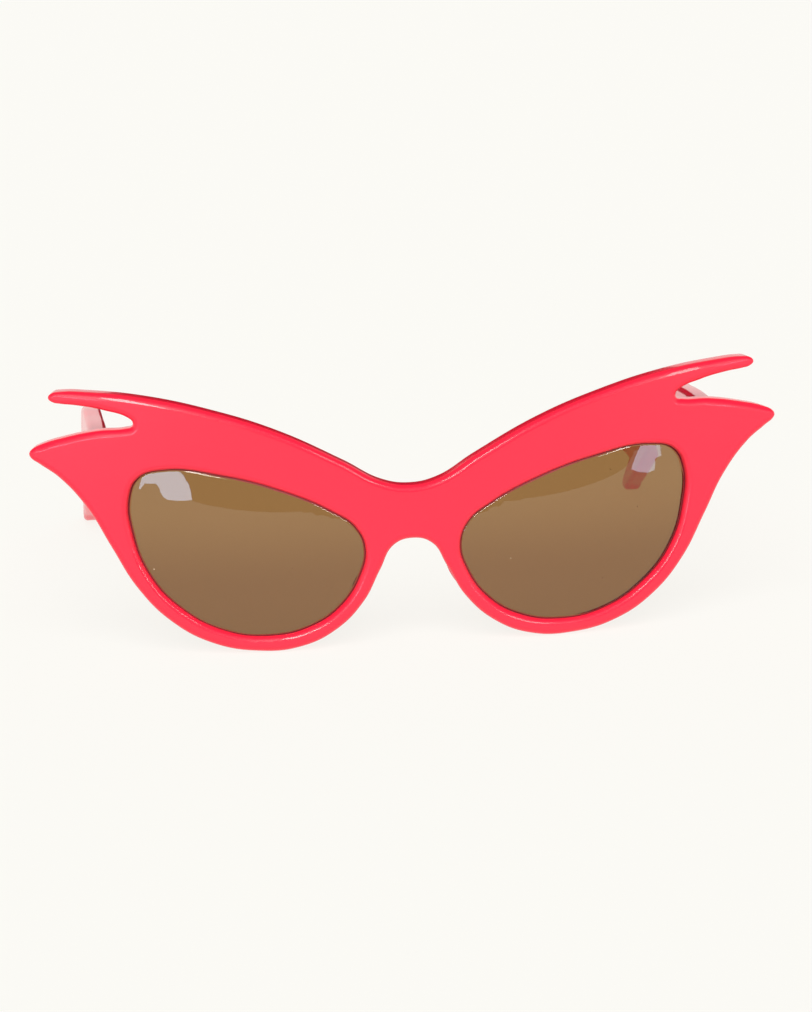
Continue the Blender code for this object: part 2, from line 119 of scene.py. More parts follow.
# %% [markdown]
# ## Helpers for materials
#
# Colours are picked as sRGB hex codes, as a maker would note them, and one function turns them into
# the linear numbers that shaders use. One more function adds a node with its settings and its links, so
# each material below reads as a list of what feeds what.

# %% Colour and node helpers
def linear(code):
    """The linear colour of an sRGB hex code such as F3213D."""
    channels = [int(code[i:i + 2], 16) / 255 for i in (0, 2, 4)]
    return [c / 12.92 if c <= 0.04045 else ((c + 0.055) / 1.055) ** 2.4 for c in channels] + [1.0]


def add_node(tree, kind, settings=None, inputs=None):
    """A new node. Settings are its own properties; an input is a value or another node's socket."""
    node = tree.nodes.new(kind)
    for key, value in (settings or {}).items():
        setattr(node, key, value)
    for key, value in (inputs or {}).items():
        if isinstance(value, bpy.types.NodeSocket):
            tree.links.new(value, node.inputs[key])
        else:
            node.inputs[key].default_value = value
    return node


def new_material(name):
    """A material with an empty Principled shader, and its node tree."""
    mat = bpy.data.materials.new(name)
    mat.use_nodes = True
    return mat, mat.node_tree, mat.node_tree.nodes["Principled BSDF"]


def set_shader(shader, values):
    for key, value in values.items():
        shader.inputs[key].default_value = value


print("helpers ready")

# %% [markdown]
# ## Coral cellulose acetate
#
# The front and temples are cut from thick sheet of cellulose acetate, an opaque coral red, then tumbled
# for days in wood chips and wax until every edge is soft and the surface shines. That gives the eye three
# things: one strong even colour right through, a sharp gloss with an index of refraction near 1.48, and a
# surface that isn't quite flat, with slow waves a centimetre or so long and a few hairlines from wear.
# The waves and hairlines are bump, because they are far finer than any edge of the mesh. The hairlines
# come from a stretched noise and go down to a quarter of a millimetre, coarser than real ones. The
# polish is a clear coat over a softer base, which keeps the red full and the highlights narrow.

# %% Acetate
PIGMENT_SWIRL = 38.0
WAVE_LENGTH = 9.0
HAIRLINE_CELL = 15.0
HAIRLINE_STRETCH = 14.0
WAVE_HEIGHT = 0.0006
HAIRLINE_HEIGHT = 0.00004


def make_acetate(name, code, deep_code):
    """Coloured sheet with slow waves and faint hairlines, under a clear polish."""
    mat, tree, shader = new_material(name)
    place = add_node(tree, "ShaderNodeTexCoord")
    swirl = add_node(tree, "ShaderNodeTexNoise", None,
                     {"Vector": place.outputs["Object"], "Scale": 1000 / PIGMENT_SWIRL,
                      "Detail": 3.0, "Roughness": 0.6})
    pigment = add_node(tree, "ShaderNodeMixRGB", None,
                       {"Fac": swirl.outputs["Fac"], "Color1": linear(code), "Color2": linear(deep_code)})
    wave = add_node(tree, "ShaderNodeTexNoise", None,
                    {"Vector": place.outputs["Object"], "Scale": 1000 / WAVE_LENGTH, "Detail": 1.0})
    stretch = add_node(tree, "ShaderNodeMapping", None,
                       {"Vector": place.outputs["Object"], "Rotation": (0.3, 0.5, 0.2),
                        "Scale": (1.0, 1.0, HAIRLINE_STRETCH)})
    hairline = add_node(tree, "ShaderNodeTexNoise", None,
                        {"Vector": stretch.outputs["Vector"], "Scale": 1000 / HAIRLINE_CELL,
                         "Detail": 4.0})
    handling = add_node(tree, "ShaderNodeMapRange", None,
                        {"Value": hairline.outputs["Fac"], "From Min": 0.45, "From Max": 0.75,
                         "To Min": 0.04, "To Max": 0.09})
    soft = add_node(tree, "ShaderNodeBump", None,
                    {"Height": wave.outputs["Fac"], "Strength": 0.10, "Distance": WAVE_HEIGHT})
    fine = add_node(tree, "ShaderNodeBump", None,
                    {"Height": hairline.outputs["Fac"], "Strength": 0.03, "Distance": HAIRLINE_HEIGHT,
                     "Normal": soft.outputs["Normal"]})
    tree.links.new(pigment.outputs["Color"], shader.inputs["Base Color"])
    tree.links.new(handling.outputs["Result"], shader.inputs["Coat Roughness"])
    tree.links.new(fine.outputs["Normal"], shader.inputs["Normal"])
    tree.links.new(fine.outputs["Normal"], shader.inputs["Coat Normal"])
    set_shader(shader, {"Roughness": 0.30, "Specular IOR Level": 0.30, "IOR": 1.48, "Coat Weight": 0.5,
                        "Coat IOR": 1.48})
    return mat


coral_acetate = make_acetate("coral_cellulose_acetate", "F21F3C", "EE1A38")
print("made", coral_acetate.name)

# %% [markdown]
# ## Brown sun lens
#
# Sun lenses of this kind are cast or moulded from optical resin and dyed right through. The dye takes
# most of the blue and half of the green, which leaves brown. Light crosses two surfaces, and Cycles takes
# the square root of the colour at each, so the colour given is the tint of the whole lens. Towards the
# foot the colour runs a shade darker, which is painted shade and not part of the dye. The surfaces are
# polished, and old lenses carry a few fine marks, which show as a slight change of gloss, and a few specks
# of dust.
# The edge is ground to a V and left matt, with a fine grain, 0.3 mm across, which is coarser than real
# grinding. Its dull dark red is a painted reflection of the red rim around it and painted shade of the
# groove it sits in.

# %% Sun lens
LENS_TINT = "9C7549"
# Painted shade: the lens colour darkens to this foot colour between the two heights below.
LENS_PAINTED_FOOT_SHADE = "8C653F"
FOOT_SHADE_HEIGHTS = (14.0, 32.0)
FILM_CELL = 6.0
SPECK_SPACING = 7.0
SPECK_RADIUS = 0.13


def make_lens_material():
    """Clear resin with a brown dye, painted shade towards its foot, a thin uneven film and a few specks.
    """
    mat, tree, shader = new_material("brown_optical_resin")
    place = add_node(tree, "ShaderNodeTexCoord")
    where = add_node(tree, "ShaderNodeSeparateXYZ", None, {"Vector": place.outputs["Object"]})
    # Painted shade: this mask and the mix below darken the lens towards its foot.
    foot_shade_mask = add_node(tree, "ShaderNodeMapRange", {"interpolation_type": "SMOOTHSTEP"},
                    {"Value": where.outputs["Z"], "From Min": FOOT_SHADE_HEIGHTS[0] * MM,
                     "From Max": FOOT_SHADE_HEIGHTS[1] * MM})
    dye_and_foot_shade = add_node(tree, "ShaderNodeMixRGB", None,
                    {"Fac": foot_shade_mask.outputs["Result"], "Color1": linear(LENS_PAINTED_FOOT_SHADE),
                     "Color2": linear(LENS_TINT)})
    film = add_node(tree, "ShaderNodeTexNoise", None,
                    {"Vector": place.outputs["Object"], "Scale": 1000 / FILM_CELL, "Detail": 6.0})
    gloss = add_node(tree, "ShaderNodeMapRange", None,
                     {"Value": film.outputs["Fac"], "From Min": 0.5, "From Max": 0.8,
                      "To Min": 0.0, "To Max": 0.03})
    cells = add_node(tree, "ShaderNodeTexVoronoi", None,
                     {"Vector": place.outputs["Object"], "Scale": 1000 / SPECK_SPACING})
    speck = add_node(tree, "ShaderNodeMath", {"operation": "LESS_THAN"},
                     {0: cells.outputs["Distance"], 1: SPECK_RADIUS / SPECK_SPACING})
    dust = add_node(tree, "ShaderNodeBsdfDiffuse", None, {"Color": linear("C9B49A")})
    dusty = add_node(tree, "ShaderNodeMixShader", None,
                     {0: speck.outputs["Value"], 1: shader.outputs["BSDF"], 2: dust.outputs["BSDF"]})
    tree.links.new(dye_and_foot_shade.outputs["Color"], shader.inputs["Base Color"])
    tree.links.new(gloss.outputs["Result"], shader.inputs["Roughness"])
    tree.links.new(dusty.outputs["Shader"], tree.nodes["Material Output"].inputs["Surface"])
    set_shader(shader, {"IOR": 1.5, "Transmission Weight": 1.0})
    return mat


GRIND_GRAIN = 0.3


def make_ground_edge_painted_shade():
    """The matt, ground edge of a lens, whose dark red is painted reflection of the rim and painted groove
    shade.
    """
    mat, tree, shader = new_material("ground_lens_edge_painted_shade")
    place = add_node(tree, "ShaderNodeTexCoord")
    grain = add_node(tree, "ShaderNodeTexNoise", None,
                     {"Vector": place.outputs["Object"], "Scale": 1000 / GRIND_GRAIN, "Detail": 2.0})
    # Painted reflection of the red rim and painted shade of the groove, varied by the grain.
    rim_reflection_and_groove_shade = add_node(tree, "ShaderNodeMixRGB", None,
                     {"Fac": grain.outputs["Fac"], "Color1": linear("7E1E28"), "Color2": linear("9C4446")})
    tree.links.new(rim_reflection_and_groove_shade.outputs["Color"], shader.inputs["Base Color"])
    set_shader(shader, {"Roughness": 0.7, "IOR": 1.5})
    return mat


ground_edge_painted_shade = make_ground_edge_painted_shade()
brown_lens = make_lens_material()
print("made", brown_lens.name)

# %% [markdown]
# ## Nickel silver
#
# Hinges and core wires are nickel silver, a warm white alloy that doesn't rust next to skin. The leaves
# are milled and then brushed, so their gloss is drawn out along the strokes. The wires are drawn and a
# little duller, and the screws are turned from stainless steel, which is cooler and brighter. One recipe
# serves all three, with its own colour and gloss. The strokes come from a noise of 0.6 mm whose finer
# layers reach about 0.1 mm, coarser than real strokes, so that they show.

# %% Brushed and turned metal
BRUSH_CELL = 0.6
STROKE_SQUEEZE = 0.06
BRUSH_HEIGHT = 0.00003
GLOSS_SPREAD = (0.7, 1.4)


def make_brushed_metal(name, code, roughness):
    """A metal with fine strokes along its y direction."""
    mat, tree, shader = new_material(name)
    place = add_node(tree, "ShaderNodeTexCoord")
    strokes = add_node(tree, "ShaderNodeMapping", None,
                       {"Vector": place.outputs["Object"], "Scale": (1.0, STROKE_SQUEEZE, 1.0)})
    brushed = add_node(tree, "ShaderNodeTexNoise", None,
                       {"Vector": strokes.outputs["Vector"], "Scale": 1000 / BRUSH_CELL, "Detail": 3.0})
    rough = add_node(tree, "ShaderNodeMapRange", None,
                     {"Value": brushed.outputs["Fac"], "To Min": roughness * GLOSS_SPREAD[0],
                      "To Max": roughness * GLOSS_SPREAD[1]})
    bump = add_node(tree, "ShaderNodeBump", None,
                    {"Height": brushed.outputs["Fac"], "Strength": 0.15, "Distance": BRUSH_HEIGHT})
    tree.links.new(rough.outputs["Result"], shader.inputs["Roughness"])
    tree.links.new(bump.outputs["Normal"], shader.inputs["Normal"])
    set_shader(shader, {"Base Color": linear(code), "Metallic": 1.0})
    return mat


nickel_silver = make_brushed_metal("brushed_nickel_silver", "D9D5CC", 0.28)
drawn_wire = make_brushed_metal("drawn_nickel_silver_wire", "CFCBC0", 0.34)
screw_steel = make_brushed_metal("turned_stainless_steel", "C9CBCD", 0.22)
print("made", nickel_silver.name, drawn_wire.name, screw_steel.name)

# %% [markdown]
# ## Outlines
#
# The front is a flat drawing first, as it is for the maker who saws it from sheet. A few knots fix each
# outline and Blender's own smooth handles run between them. The curve is then read off as points a
# fraction of a millimetre apart, which later become the rings of the mesh.

# %% Outline helpers
def smooth_loop(knots, spacing):
    """Evenly spaced points on the smooth closed curve through some knots, in millimetres."""
    curve = bpy.data.curves.new("outline", "CURVE")
    curve.dimensions = "2D"
    curve.fill_mode = "NONE"
    curve.resolution_u = 24
    spline = curve.splines.new("BEZIER")
    spline.bezier_points.add(len(knots) - 1)
    spline.use_cyclic_u = True
    for point, knot in zip(spline.bezier_points, knots):
        point.co = (*knot, 0.0)
        point.handle_left_type = "AUTO"
        point.handle_right_type = "AUTO"
    holder = bpy.data.objects.new("outline", curve)
    bpy.context.scene.collection.objects.link(holder)
    graph = bpy.context.evaluated_depsgraph_get()
    mesh = bpy.data.meshes.new_from_object(holder.evaluated_get(graph))
    fine = np.array([vertex.co[:2] for vertex in mesh.vertices])
    bpy.data.objects.remove(holder)
    bpy.data.curves.remove(curve)
    bpy.data.meshes.remove(mesh)
    return evenly(fine, spacing)


def evenly(points, spacing):
    """The same closed line with its points evenly spaced."""
    closed = np.vstack([points, points[:1]])
    travelled = np.concatenate([[0.0], np.cumsum(np.linalg.norm(np.diff(closed, axis=0), axis=1))])
    count = max(12, round(travelled[-1] / spacing))
    stops = np.linspace(0.0, travelled[-1], count, endpoint=False)
    return np.stack([np.interp(stops, travelled, closed[:, axis]) for axis in (0, 1)], axis=1)


def inward(loop):
    """Unit directions into the material, which lies to the left of the line."""
    along = np.roll(loop, -1, axis=0) - np.roll(loop, 1, axis=0)
    along /= np.linalg.norm(along, axis=1)[:, None]
    return np.stack([-along[:, 1], along[:, 0]], axis=1)


def mirrored_loop(loop):
    return (loop * (-1.0, 1.0))[::-1]


print("outline helpers ready")

# %% [markdown]
# The front's outline has a bridge, a rim, and at each corner two swept points with a narrow notch between
# them. Only the right half is drawn. The left half is its mirror image, so the two can't drift apart.

# %% The drawing of the front
BRIDGE_UNDERSIDE = (0.0, -7.9)
RIM = [(4.1, -9.2), (7.2, -14.4), (11.0, -21.2), (17.3, -27.2), (25.0, -30.5), (34.0, -31.0),
       (44.0, -28.8), (52.5, -23.7), (59.2, -16.3), (64.5, -6.8), (68.9, 1.4), (74.5, 8.2)]
LOWER_POINT = [(79.0, 11.6), (80.3, 12.7), (80.7, 13.7), (80.1, 14.6), (78.8, 15.3)]
NOTCH = [(73.5, 16.8), (66.0, 18.1), (60.0, 18.4), (58.6, 18.8), (58.3, 19.7), (59.1, 20.6), (64.0, 22.4)]
UPPER_POINT = [(70.0, 23.7), (73.4, 24.2), (75.1, 24.65), (75.9, 25.6), (75.1, 26.5), (73.6, 26.75)]
BROW = [(68.0, 26.5), (56.0, 24.9), (42.0, 21.4), (28.0, 16.4), (14.0, 9.3), (6.0, 4.8)]
BRIDGE_TOP = (0.0, 3.7)
LENS_OPENING = [(10.2, -9.8), (11.5, -15.4), (16.0, -22.0), (23.0, -26.3), (31.5, -27.8), (41.0, -26.3),
                (50.3, -20.9), (56.7, -13.2), (59.7, -4.5), (60.1, 3.4), (57.9, 7.7), (53.0, 9.25),
                (40.0, 7.6), (26.0, 3.2), (17.0, -1.2), (12.1, -4.9)]
OUTLINE_SPACING = 0.45

half = [*RIM, *LOWER_POINT, *NOTCH, *UPPER_POINT, *BROW]
left_half = [(-x, y) for x, y in reversed(half)]
front_loop = smooth_loop([BRIDGE_UNDERSIDE, *half, BRIDGE_TOP, *left_half], OUTLINE_SPACING)
opening_right = smooth_loop(LENS_OPENING, OUTLINE_SPACING)
opening_left = mirrored_loop(opening_right)
print("outline points:", len(front_loop), "and", len(opening_right), "round each lens")

# %% [markdown]
# ## A plate with polished edges
#
# Front, temples and lenses are all plates with worked edges. One helper makes them. It carries each
# outline round the edge as a stack of rings, each ring a step further in and a step deeper, and closes
# the two faces with a Delaunay net that has points of its own inside, so the plate can bend without
# creases. A Bevel modifier would be quicker to type, but where the points of the front are thinner than
# two bevels it collides with itself. Here the rounding is held to the room that the material has.

# %% Plate helper
NET_PITCH = 1.7
ROW_PITCH = 0.87
EDGE_CLEARANCE = 0.55
LEAST_AHEAD = 1e-4
NO_LIMIT = 1e9
ROOM_USED = 0.9
FACE_MARGIN = 1.1


def room_inside(loops):
    """For every outline point, the radius of the largest disc that fits inside the material there."""
    everything = np.vstack(loops)
    rooms = []
    for loop in loops:
        normal = inward(loop)
        gap = everything[None, :, :] - loop[:, None, :]
        ahead = np.einsum("ijk,ik->ij", gap, normal)
        reach = (gap ** 2).sum(axis=2) / (2 * np.maximum(ahead, LEAST_AHEAD))
        radius = np.where(ahead > LEAST_AHEAD, reach, NO_LIMIT)
        rooms.append(radius.min(axis=1))
    return rooms


def eased(values, reach):
    """Values smoothed along a closed line, never above what they were."""
    shifts = range(-reach, reach + 1)
    lowest = np.min([np.roll(values, s) for s in shifts], axis=0)
    return np.mean([np.roll(lowest, s) for s in shifts], axis=0)


def inside(points, loops):
    """Which points lie in the material, by the even-odd rule."""
    result = np.zeros(len(points), bool)
    for loop in loops:
        start, end = loop, np.roll(loop, -1, axis=0)
        for (x1, y1), (x2, y2) in zip(start, end):
            crosses = (y1 > points[:, 1]) != (y2 > points[:, 1])
            if y1 != y2:
                result ^= crosses & (points[:, 0] < (x2 - x1) * (points[:, 1] - y1) / (y2 - y1) + x1)
    return result


def face_net(loops, pitch):
    """A triangle net that fills some loops: its points (loops first, then its own) and triangles."""
    low = np.min([loop.min(axis=0) for loop in loops], axis=0)
    high = np.max([loop.max(axis=0) for loop in loops], axis=0)
    rows = np.arange(low[1] + pitch / 2, high[1], pitch * ROW_PITCH)
    columns = np.arange(low[0], high[0], pitch)
    own = [(x + (row % 2) * pitch / 2, y) for row, y in enumerate(rows) for x in columns]
    own = np.array(own)
    own = own[inside(own, loops)]
    edge_points = np.vstack(loops)
    nearest = np.sqrt(((own[:, None, :] - edge_points[None, :, :]) ** 2).sum(axis=2)).min(axis=1)
    own = own[nearest > pitch * EDGE_CLEARANCE]
    points = np.vstack([edge_points, own])
    edges, first = [], 0
    for loop in loops:
        edges += [(first + i, first + (i + 1) % len(loop)) for i in range(len(loop))]
        first += len(loop)
    net = delaunay_2d_cdt([Vector(p) for p in points], edges, [], 0, 1e-7)
    source = [origin[0] for origin in net[3]]
    triangles = np.array([[source[i] for i in face] for face in net[2]])
    return points, triangles[inside(points[triangles].mean(axis=1), loops)]


def rounded(radius, steps, room):
    """Rings for a rounded edge, as (step in, step down), from the face to the wall."""
    used = np.minimum(radius, ROOM_USED * room)
    rings = [(used * FACE_MARGIN, used * 0.0)]
    for step in range(steps + 1):
        angle = math.pi / 2 * (1 - step / steps)
        rings.append((used * (1 - math.cos(angle)), used * (1 - math.sin(angle))))
    return rings


def make_plate(name, loops, rings, thickness, place, material, pitch=NET_PITCH):
    """A closed mesh: rings round each loop, a net on each face, all carried into place."""
    flat, faces, first_ring, last_ring = [], [], [], []
    for loop, stack in zip(loops, rings):
        normal = inward(loop)
        count = len(loop)
        for step, (offset, depth) in enumerate(stack):
            start = len(flat)
            ring = loop + normal * np.broadcast_to(offset, count)[:, None]
            flat += [(x, y, d) for (x, y), d in zip(ring, np.broadcast_to(depth, count))]
            if step == 0:
                first_ring.append((start, ring))
            else:
                before = start - count
                faces += [(before + i, before + (i + 1) % count, start + (i + 1) % count, start + i)
                          for i in range(count)]
        last_ring.append((start, ring))
    for sides, depth, order in ((first_ring, 0.0, 1), (last_ring, thickness, -1)):
        points, triangles = face_net([ring for _, ring in sides], pitch)
        index = [start + i for start, ring in sides for i in range(len(ring))]
        own = len(flat)
        flat += [(x, y, depth) for x, y in points[len(index):]]
        index += range(own, len(flat))
        faces += [tuple(index[i] for i in triangle[::order]) for triangle in triangles]
    mesh = bpy.data.meshes.new(name)
    mesh.from_pydata([place(*point) for point in flat], [], faces)
    tidy_mesh(mesh)
    piece = bpy.data.objects.new(name, mesh)
    bpy.context.scene.collection.objects.link(piece)
    mesh.materials.append(material)
    print(f"{name}: {len(mesh.vertices)} points, {len(mesh.polygons)} faces")
    return piece


SHARP_ANGLE = math.radians(38)


def tidy_mesh(mesh):
    """Faces outwards, smooth, with sharp edges where the surface turns hard."""
    bm = bmesh.new()
    bm.from_mesh(mesh)
    bmesh.ops.recalc_face_normals(bm, faces=bm.faces)
    bm.to_mesh(mesh)
    bm.free()
    mesh.shade_smooth()
    mesh.set_sharp_from_angle(angle=SHARP_ANGLE)


print("plate helpers ready")

# %% [markdown]
# ## The front
#
# The sawn plate is heated and pressed over a form, so that it wraps round the face. Bending is a matter
# of mapping: a point across the plate is carried round a large circle, and its depth moves it towards the
# circle's centre. A Simple Deform modifier could bend it too, but the formula bends the lenses and the
# front exactly alike. Each opening has a V-shaped groove that follows the lens's own dish.

# %% Bend and dish
LENS_CURVE_RADIUS = 265.0
LENS_CENTRE = (35.0, -9.3)
LENS_LEVEL_RADIUS = 22.0
GROOVE_DEPTH = 2.6


def lens_dish(across, height):
    """How much further back a lens lies at a point than on its level circle."""
    from_centre = (np.abs(across) - LENS_CENTRE[0]) ** 2 + (height - LENS_CENTRE[1]) ** 2
    return (from_centre - LENS_LEVEL_RADIUS ** 2) / (2 * LENS_CURVE_RADIUS)


def bent(across, height, depth):
    """The place in the room of a point of the flat plate."""
    radius = BEND_RADIUS - depth
    angle = across / BEND_RADIUS
    return upright @ Vector((radius * math.sin(angle), BEND_RADIUS - radius * math.cos(angle), height))


LENS_BULGE = 0.7
BULGE_EASE = 0.3
LENS_HALF_SIZE = (25.5, 19.0)


def lens_bulge(across, height):
    """The extra rise of a lens in the middle, fading out before its edge."""
    room = 1 - ((abs(across) - LENS_CENTRE[0]) / LENS_HALF_SIZE[0]) ** 2
    room -= ((height - LENS_CENTRE[1]) / LENS_HALF_SIZE[1]) ** 2
    return LENS_BULGE * (room + math.hypot(room, BULGE_EASE)) / 2


print(f"the middle of a lens dishes {-lens_dish(*LENS_CENTRE):.2f} mm forward of its level circle")

# %% Front
OUTER_ROUNDING = 1.4
BACK_ROUNDING = 1.0
OPENING_ROUNDING = 1.3
OPENING_BACK_ROUNDING = 0.7
GROOVE_HALF_WIDTH = 1.15
GROOVE_IN = 1.05
LIP = 0.08
FRONT_ARC_STEPS = 9
BACK_ARC_STEPS = 6
ROOM_EASE = 4


def edge_rings(front_radius, back_radius, room, groove=None):
    """The rings of one edge of the front, from its face to its back."""
    front_side = rounded(front_radius, FRONT_ARC_STEPS, room)
    back_arc = reversed(rounded(back_radius, BACK_ARC_STEPS, room))
    back_side = [(step_in, FRONT_THICKNESS - down) for step_in, down in back_arc]
    return [*front_side, *(groove or []), *back_side]


def groove_rings(opening):
    """The V groove: its front lip, its bottom and its back lip, following the lens."""
    middle_depth = GROOVE_DEPTH + lens_dish(opening[:, 0], opening[:, 1])
    front_lip = np.maximum(middle_depth - GROOVE_HALF_WIDTH, OPENING_ROUNDING + LIP)
    back_lip = np.minimum(middle_depth + GROOVE_HALF_WIDTH, FRONT_THICKNESS - OPENING_BACK_ROUNDING - LIP)
    return [(0.0, front_lip), (GROOVE_IN, middle_depth), (0.0, back_lip)]


front_loops = [front_loop, opening_right[::-1], opening_left[::-1]]
rooms = [eased(room, ROOM_EASE) for room in room_inside(front_loops)]
front_rings = [edge_rings(OUTER_ROUNDING, BACK_ROUNDING, rooms[0])]
for opening, room in zip(front_loops[1:], rooms[1:]):
    front_rings.append(edge_rings(OPENING_ROUNDING, OPENING_BACK_ROUNDING, room, groove_rings(opening)))
front = make_plate("acetate_front", front_loops, front_rings, FRONT_THICKNESS, bent, coral_acetate)
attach(front, "front")
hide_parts("frame_front")

# %% [markdown]
# ## The lenses
#
# A lens is edged to a V all round, warmed frame and all, and snapped into the groove. Both of its faces
# follow one shallow sphere on top of the front's bend, which is what gives a reflection its smile. The
# middle is drawn a touch higher than that sphere, which turns the ends of the reflection up. How much was
# chosen to give the reflection its shape, and isn't a measured curve. The lens is a plate too: its V is
# two sloping rings, and a narrow band of them shows beside the rim in the ground-edge finish.

# %% Lenses
LENS_THICKNESS = 2.0
LENS_EDGE = 1.05
LENS_OVERLAP = 0.7
FACE_STEP = 0.25
EDGE_DROP = 0.02
TIP_SETBACK = 0.05
TIP_HALF_WIDTH = 0.08
FACE_RINGS = 1
LAST_EDGE_RING = 4


def lens_place(across, height, depth):
    """The place in the room of a point of a lens."""
    middle_depth = GROOVE_DEPTH + float(lens_dish(across, height)) - lens_bulge(across, height)
    return bent(across, height, middle_depth - LENS_THICKNESS / 2 + depth)


for side, opening in (("right", opening_right), ("left", opening_left)):
    ridge = evenly(opening - inward(opening) * LENS_OVERLAP, OUTLINE_SPACING)
    rings = [(LENS_EDGE + FACE_STEP, 0.0), (LENS_EDGE, EDGE_DROP),
             (TIP_SETBACK, LENS_THICKNESS / 2 - TIP_HALF_WIDTH),
             (TIP_SETBACK, LENS_THICKNESS / 2 + TIP_HALF_WIDTH),
             (LENS_EDGE, LENS_THICKNESS - EDGE_DROP), (LENS_EDGE + FACE_STEP, LENS_THICKNESS)]
    lens = make_plate(f"sun_lens_{side}", [ridge], [rings], LENS_THICKNESS, lens_place, brown_lens)
    lens.data.materials.append(ground_edge_painted_shade)
    for face in lens.data.polygons[FACE_RINGS * len(ridge):LAST_EDGE_RING * len(ridge)]:
        face.material_index = 1
    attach(lens, "front")
    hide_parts(f"lens_{side}")

# %% [markdown]
# ## The temples
#
# Each temple is a flat strip of the same acetate, wide beside the eye and tapering down behind the ear.
# It is drawn from the side, rounded along its edges, and cut off where it meets the back of the front.
# The hinge leaf's root lies inside it. It turns about its hinge pin, so it is drawn from the pin. The same
# plate helper makes it, and a plane cut makes the butt end. A Boolean would cut it too, but a bisection
# with its hole filled leaves a cleaner edge.

# %% Temple shape
TEMPLE_THICKNESS = 4.2
TEMPLE_INSIDE = 2.0
TEMPLE_ROUNDING = 1.1
TEMPLE_TOP = [(-8.0, 17.3), (2.0, 17.1), (14.0, 16.6), (28.0, 15.5), (55.0, 13.2), (67.0, 10.6),
              (80.0, 2.9), (99.0, -10.9), (116.0, -21.1)]
TEMPLE_TIP = [(121.3, -24.7), (122.2, -26.4), (120.6, -27.4)]
TEMPLE_BOTTOM = [(112.0, -24.4), (96.0, -17.6), (76.0, -9.0), (58.0, -3.0), (40.0, 0.7), (20.0, 2.8),
                 (2.0, 3.9), (-8.0, 4.5)]
TEMPLE_SPACING = 0.6
FULL_SPLAY = math.radians(6.5)
SPLAY = {"left": math.radians(2.5), "right": math.radians(2.0)}
SIGN = {"left": -1, "right": 1}
CLEARANCE = 0.3
TEMPLE_ARC_STEPS = 7
TEMPLE_ROOM_EASE = 3
TEMPLE_NET_PITCH = 2.6
CUT_WELD = 1e-7

temple_knots = [(back, height - HINGE_HEIGHT)
                for back, height in (*TEMPLE_BOTTOM[::-1], *TEMPLE_TIP[::-1], *TEMPLE_TOP[::-1])]
temple_loop = smooth_loop(temple_knots, TEMPLE_SPACING)
print("temple outline points:", len(temple_loop))


# %% Temples
def hinge_matrix(side, turned):
    """From the hinge pin's own frame, in millimetres, into the room."""
    local = Matrix.Translation(Vector((SIGN[side] * hinge_x, hinge_y, HINGE_HEIGHT)))
    return upright @ local @ Matrix.Rotation(-SIGN[side] * turned, 4, "Z")


def cut_butt(piece, side, matrix):
    """Cut a temple's front end parallel to the back of the front."""
    mitre = wrap_angle + FULL_SPLAY
    outward = Vector((SIGN[side] * math.sin(mitre), -math.cos(mitre), 0.0))
    point = outward * (AXIS_BEHIND_FRONT - CLEARANCE)
    bm = bmesh.new()
    bm.from_mesh(piece.data)
    everything = [*bm.verts, *bm.edges, *bm.faces]
    normal = (matrix.to_3x3() @ outward).normalized()
    bmesh.ops.bisect_plane(bm, geom=everything, dist=CUT_WELD, plane_co=matrix @ point, plane_no=normal,
                           clear_outer=True)
    bmesh.ops.holes_fill(bm, edges=[edge for edge in bm.edges if edge.is_boundary])
    bm.to_mesh(piece.data)
    bm.free()
    tidy_mesh(piece.data)


room = eased(room_inside([temple_loop])[0], TEMPLE_ROOM_EASE)
edge = rounded(TEMPLE_ROUNDING, TEMPLE_ARC_STEPS, room)
rings = [*edge, *[(step_in, TEMPLE_THICKNESS - down) for step_in, down in reversed(edge)]]
for side in ("right", "left"):
    matrix = hinge_matrix(side, SPLAY[side])

    def temple_place(back, height, depth, side=side, matrix=matrix):
        outwards = TEMPLE_INSIDE + TEMPLE_THICKNESS - depth
        return matrix @ Vector((SIGN[side] * outwards, back, height))

    temple = make_plate(f"acetate_temple_{side}", [temple_loop], [rings], TEMPLE_THICKNESS, temple_place,
                        coral_acetate, pitch=TEMPLE_NET_PITCH)
    cut_butt(temple, side, matrix)
    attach(temple, f"{side}_temple")
    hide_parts(f"temple_{side}")

# %% [markdown]
# ## Finish for the pieces kept from the model
#
# The nose pads, hinge leaves, screws and core wires already have their true shape, so they only need a
# finish. The pads are glued on from the same acetate as the front.

# %% Finishes on kept pieces
KEPT = {"nose_pad": coral_acetate, "front_hinge_leaf": nickel_silver, "temple_hinge_leaf": nickel_silver,
        "hinge_screw": screw_steel, "temple_core": drawn_wire}
for name, node in frame["nodes"].items():
    for start, mat in KEPT.items():
        if name.startswith(start):
            node.data.materials.clear()
            node.data.materials.append(mat)
print("kept pieces finished")

# %% [markdown]
# ## Light table
#
# The glasses stand on a sheet of opal acrylic lit from beneath, which glows by itself and so keeps every
# shadow faint. Its own colour is a dark grey, because almost all of its brightness is the glow. A white
# floor under lamps would be simpler, but it would take a full shadow.

# %% Light table
TABLE_GLOW = 0.895
TABLE_HALF_SIZE = 40.0
FLOOR_DROP = 0.00005
floor_mesh = bpy.data.meshes.new("light_table")
bm = bmesh.new()
bmesh.ops.create_grid(bm, x_segments=2, y_segments=2, size=TABLE_HALF_SIZE)
bm.to_mesh(floor_mesh)
bm.free()
floor = bpy.data.objects.new("light_table", floor_mesh)
floor.location.z = -FLOOR_DROP
bpy.context.scene.collection.objects.link(floor)
opal, _, shader = new_material("opal_acrylic_sheet")
set_shader(shader, {"Base Color": linear("595856"), "Roughness": 0.9, "Specular IOR Level": 0.0,
                    "Emission Color": linear("FBFAF5"), "Emission Strength": TABLE_GLOW})
floor_mesh.materials.append(opal)
print("light table laid")

# % [markdown]
# ## Lamp and room
#
# A broad lamp beside the camera lights the face of the glasses. It is a sun with a wide angle, so its
# light is soft and even across the whole front, and it stays out of reflections. The room is bright near
# the horizon and dim overhead, so that edges which turn upwards keep their full colour.

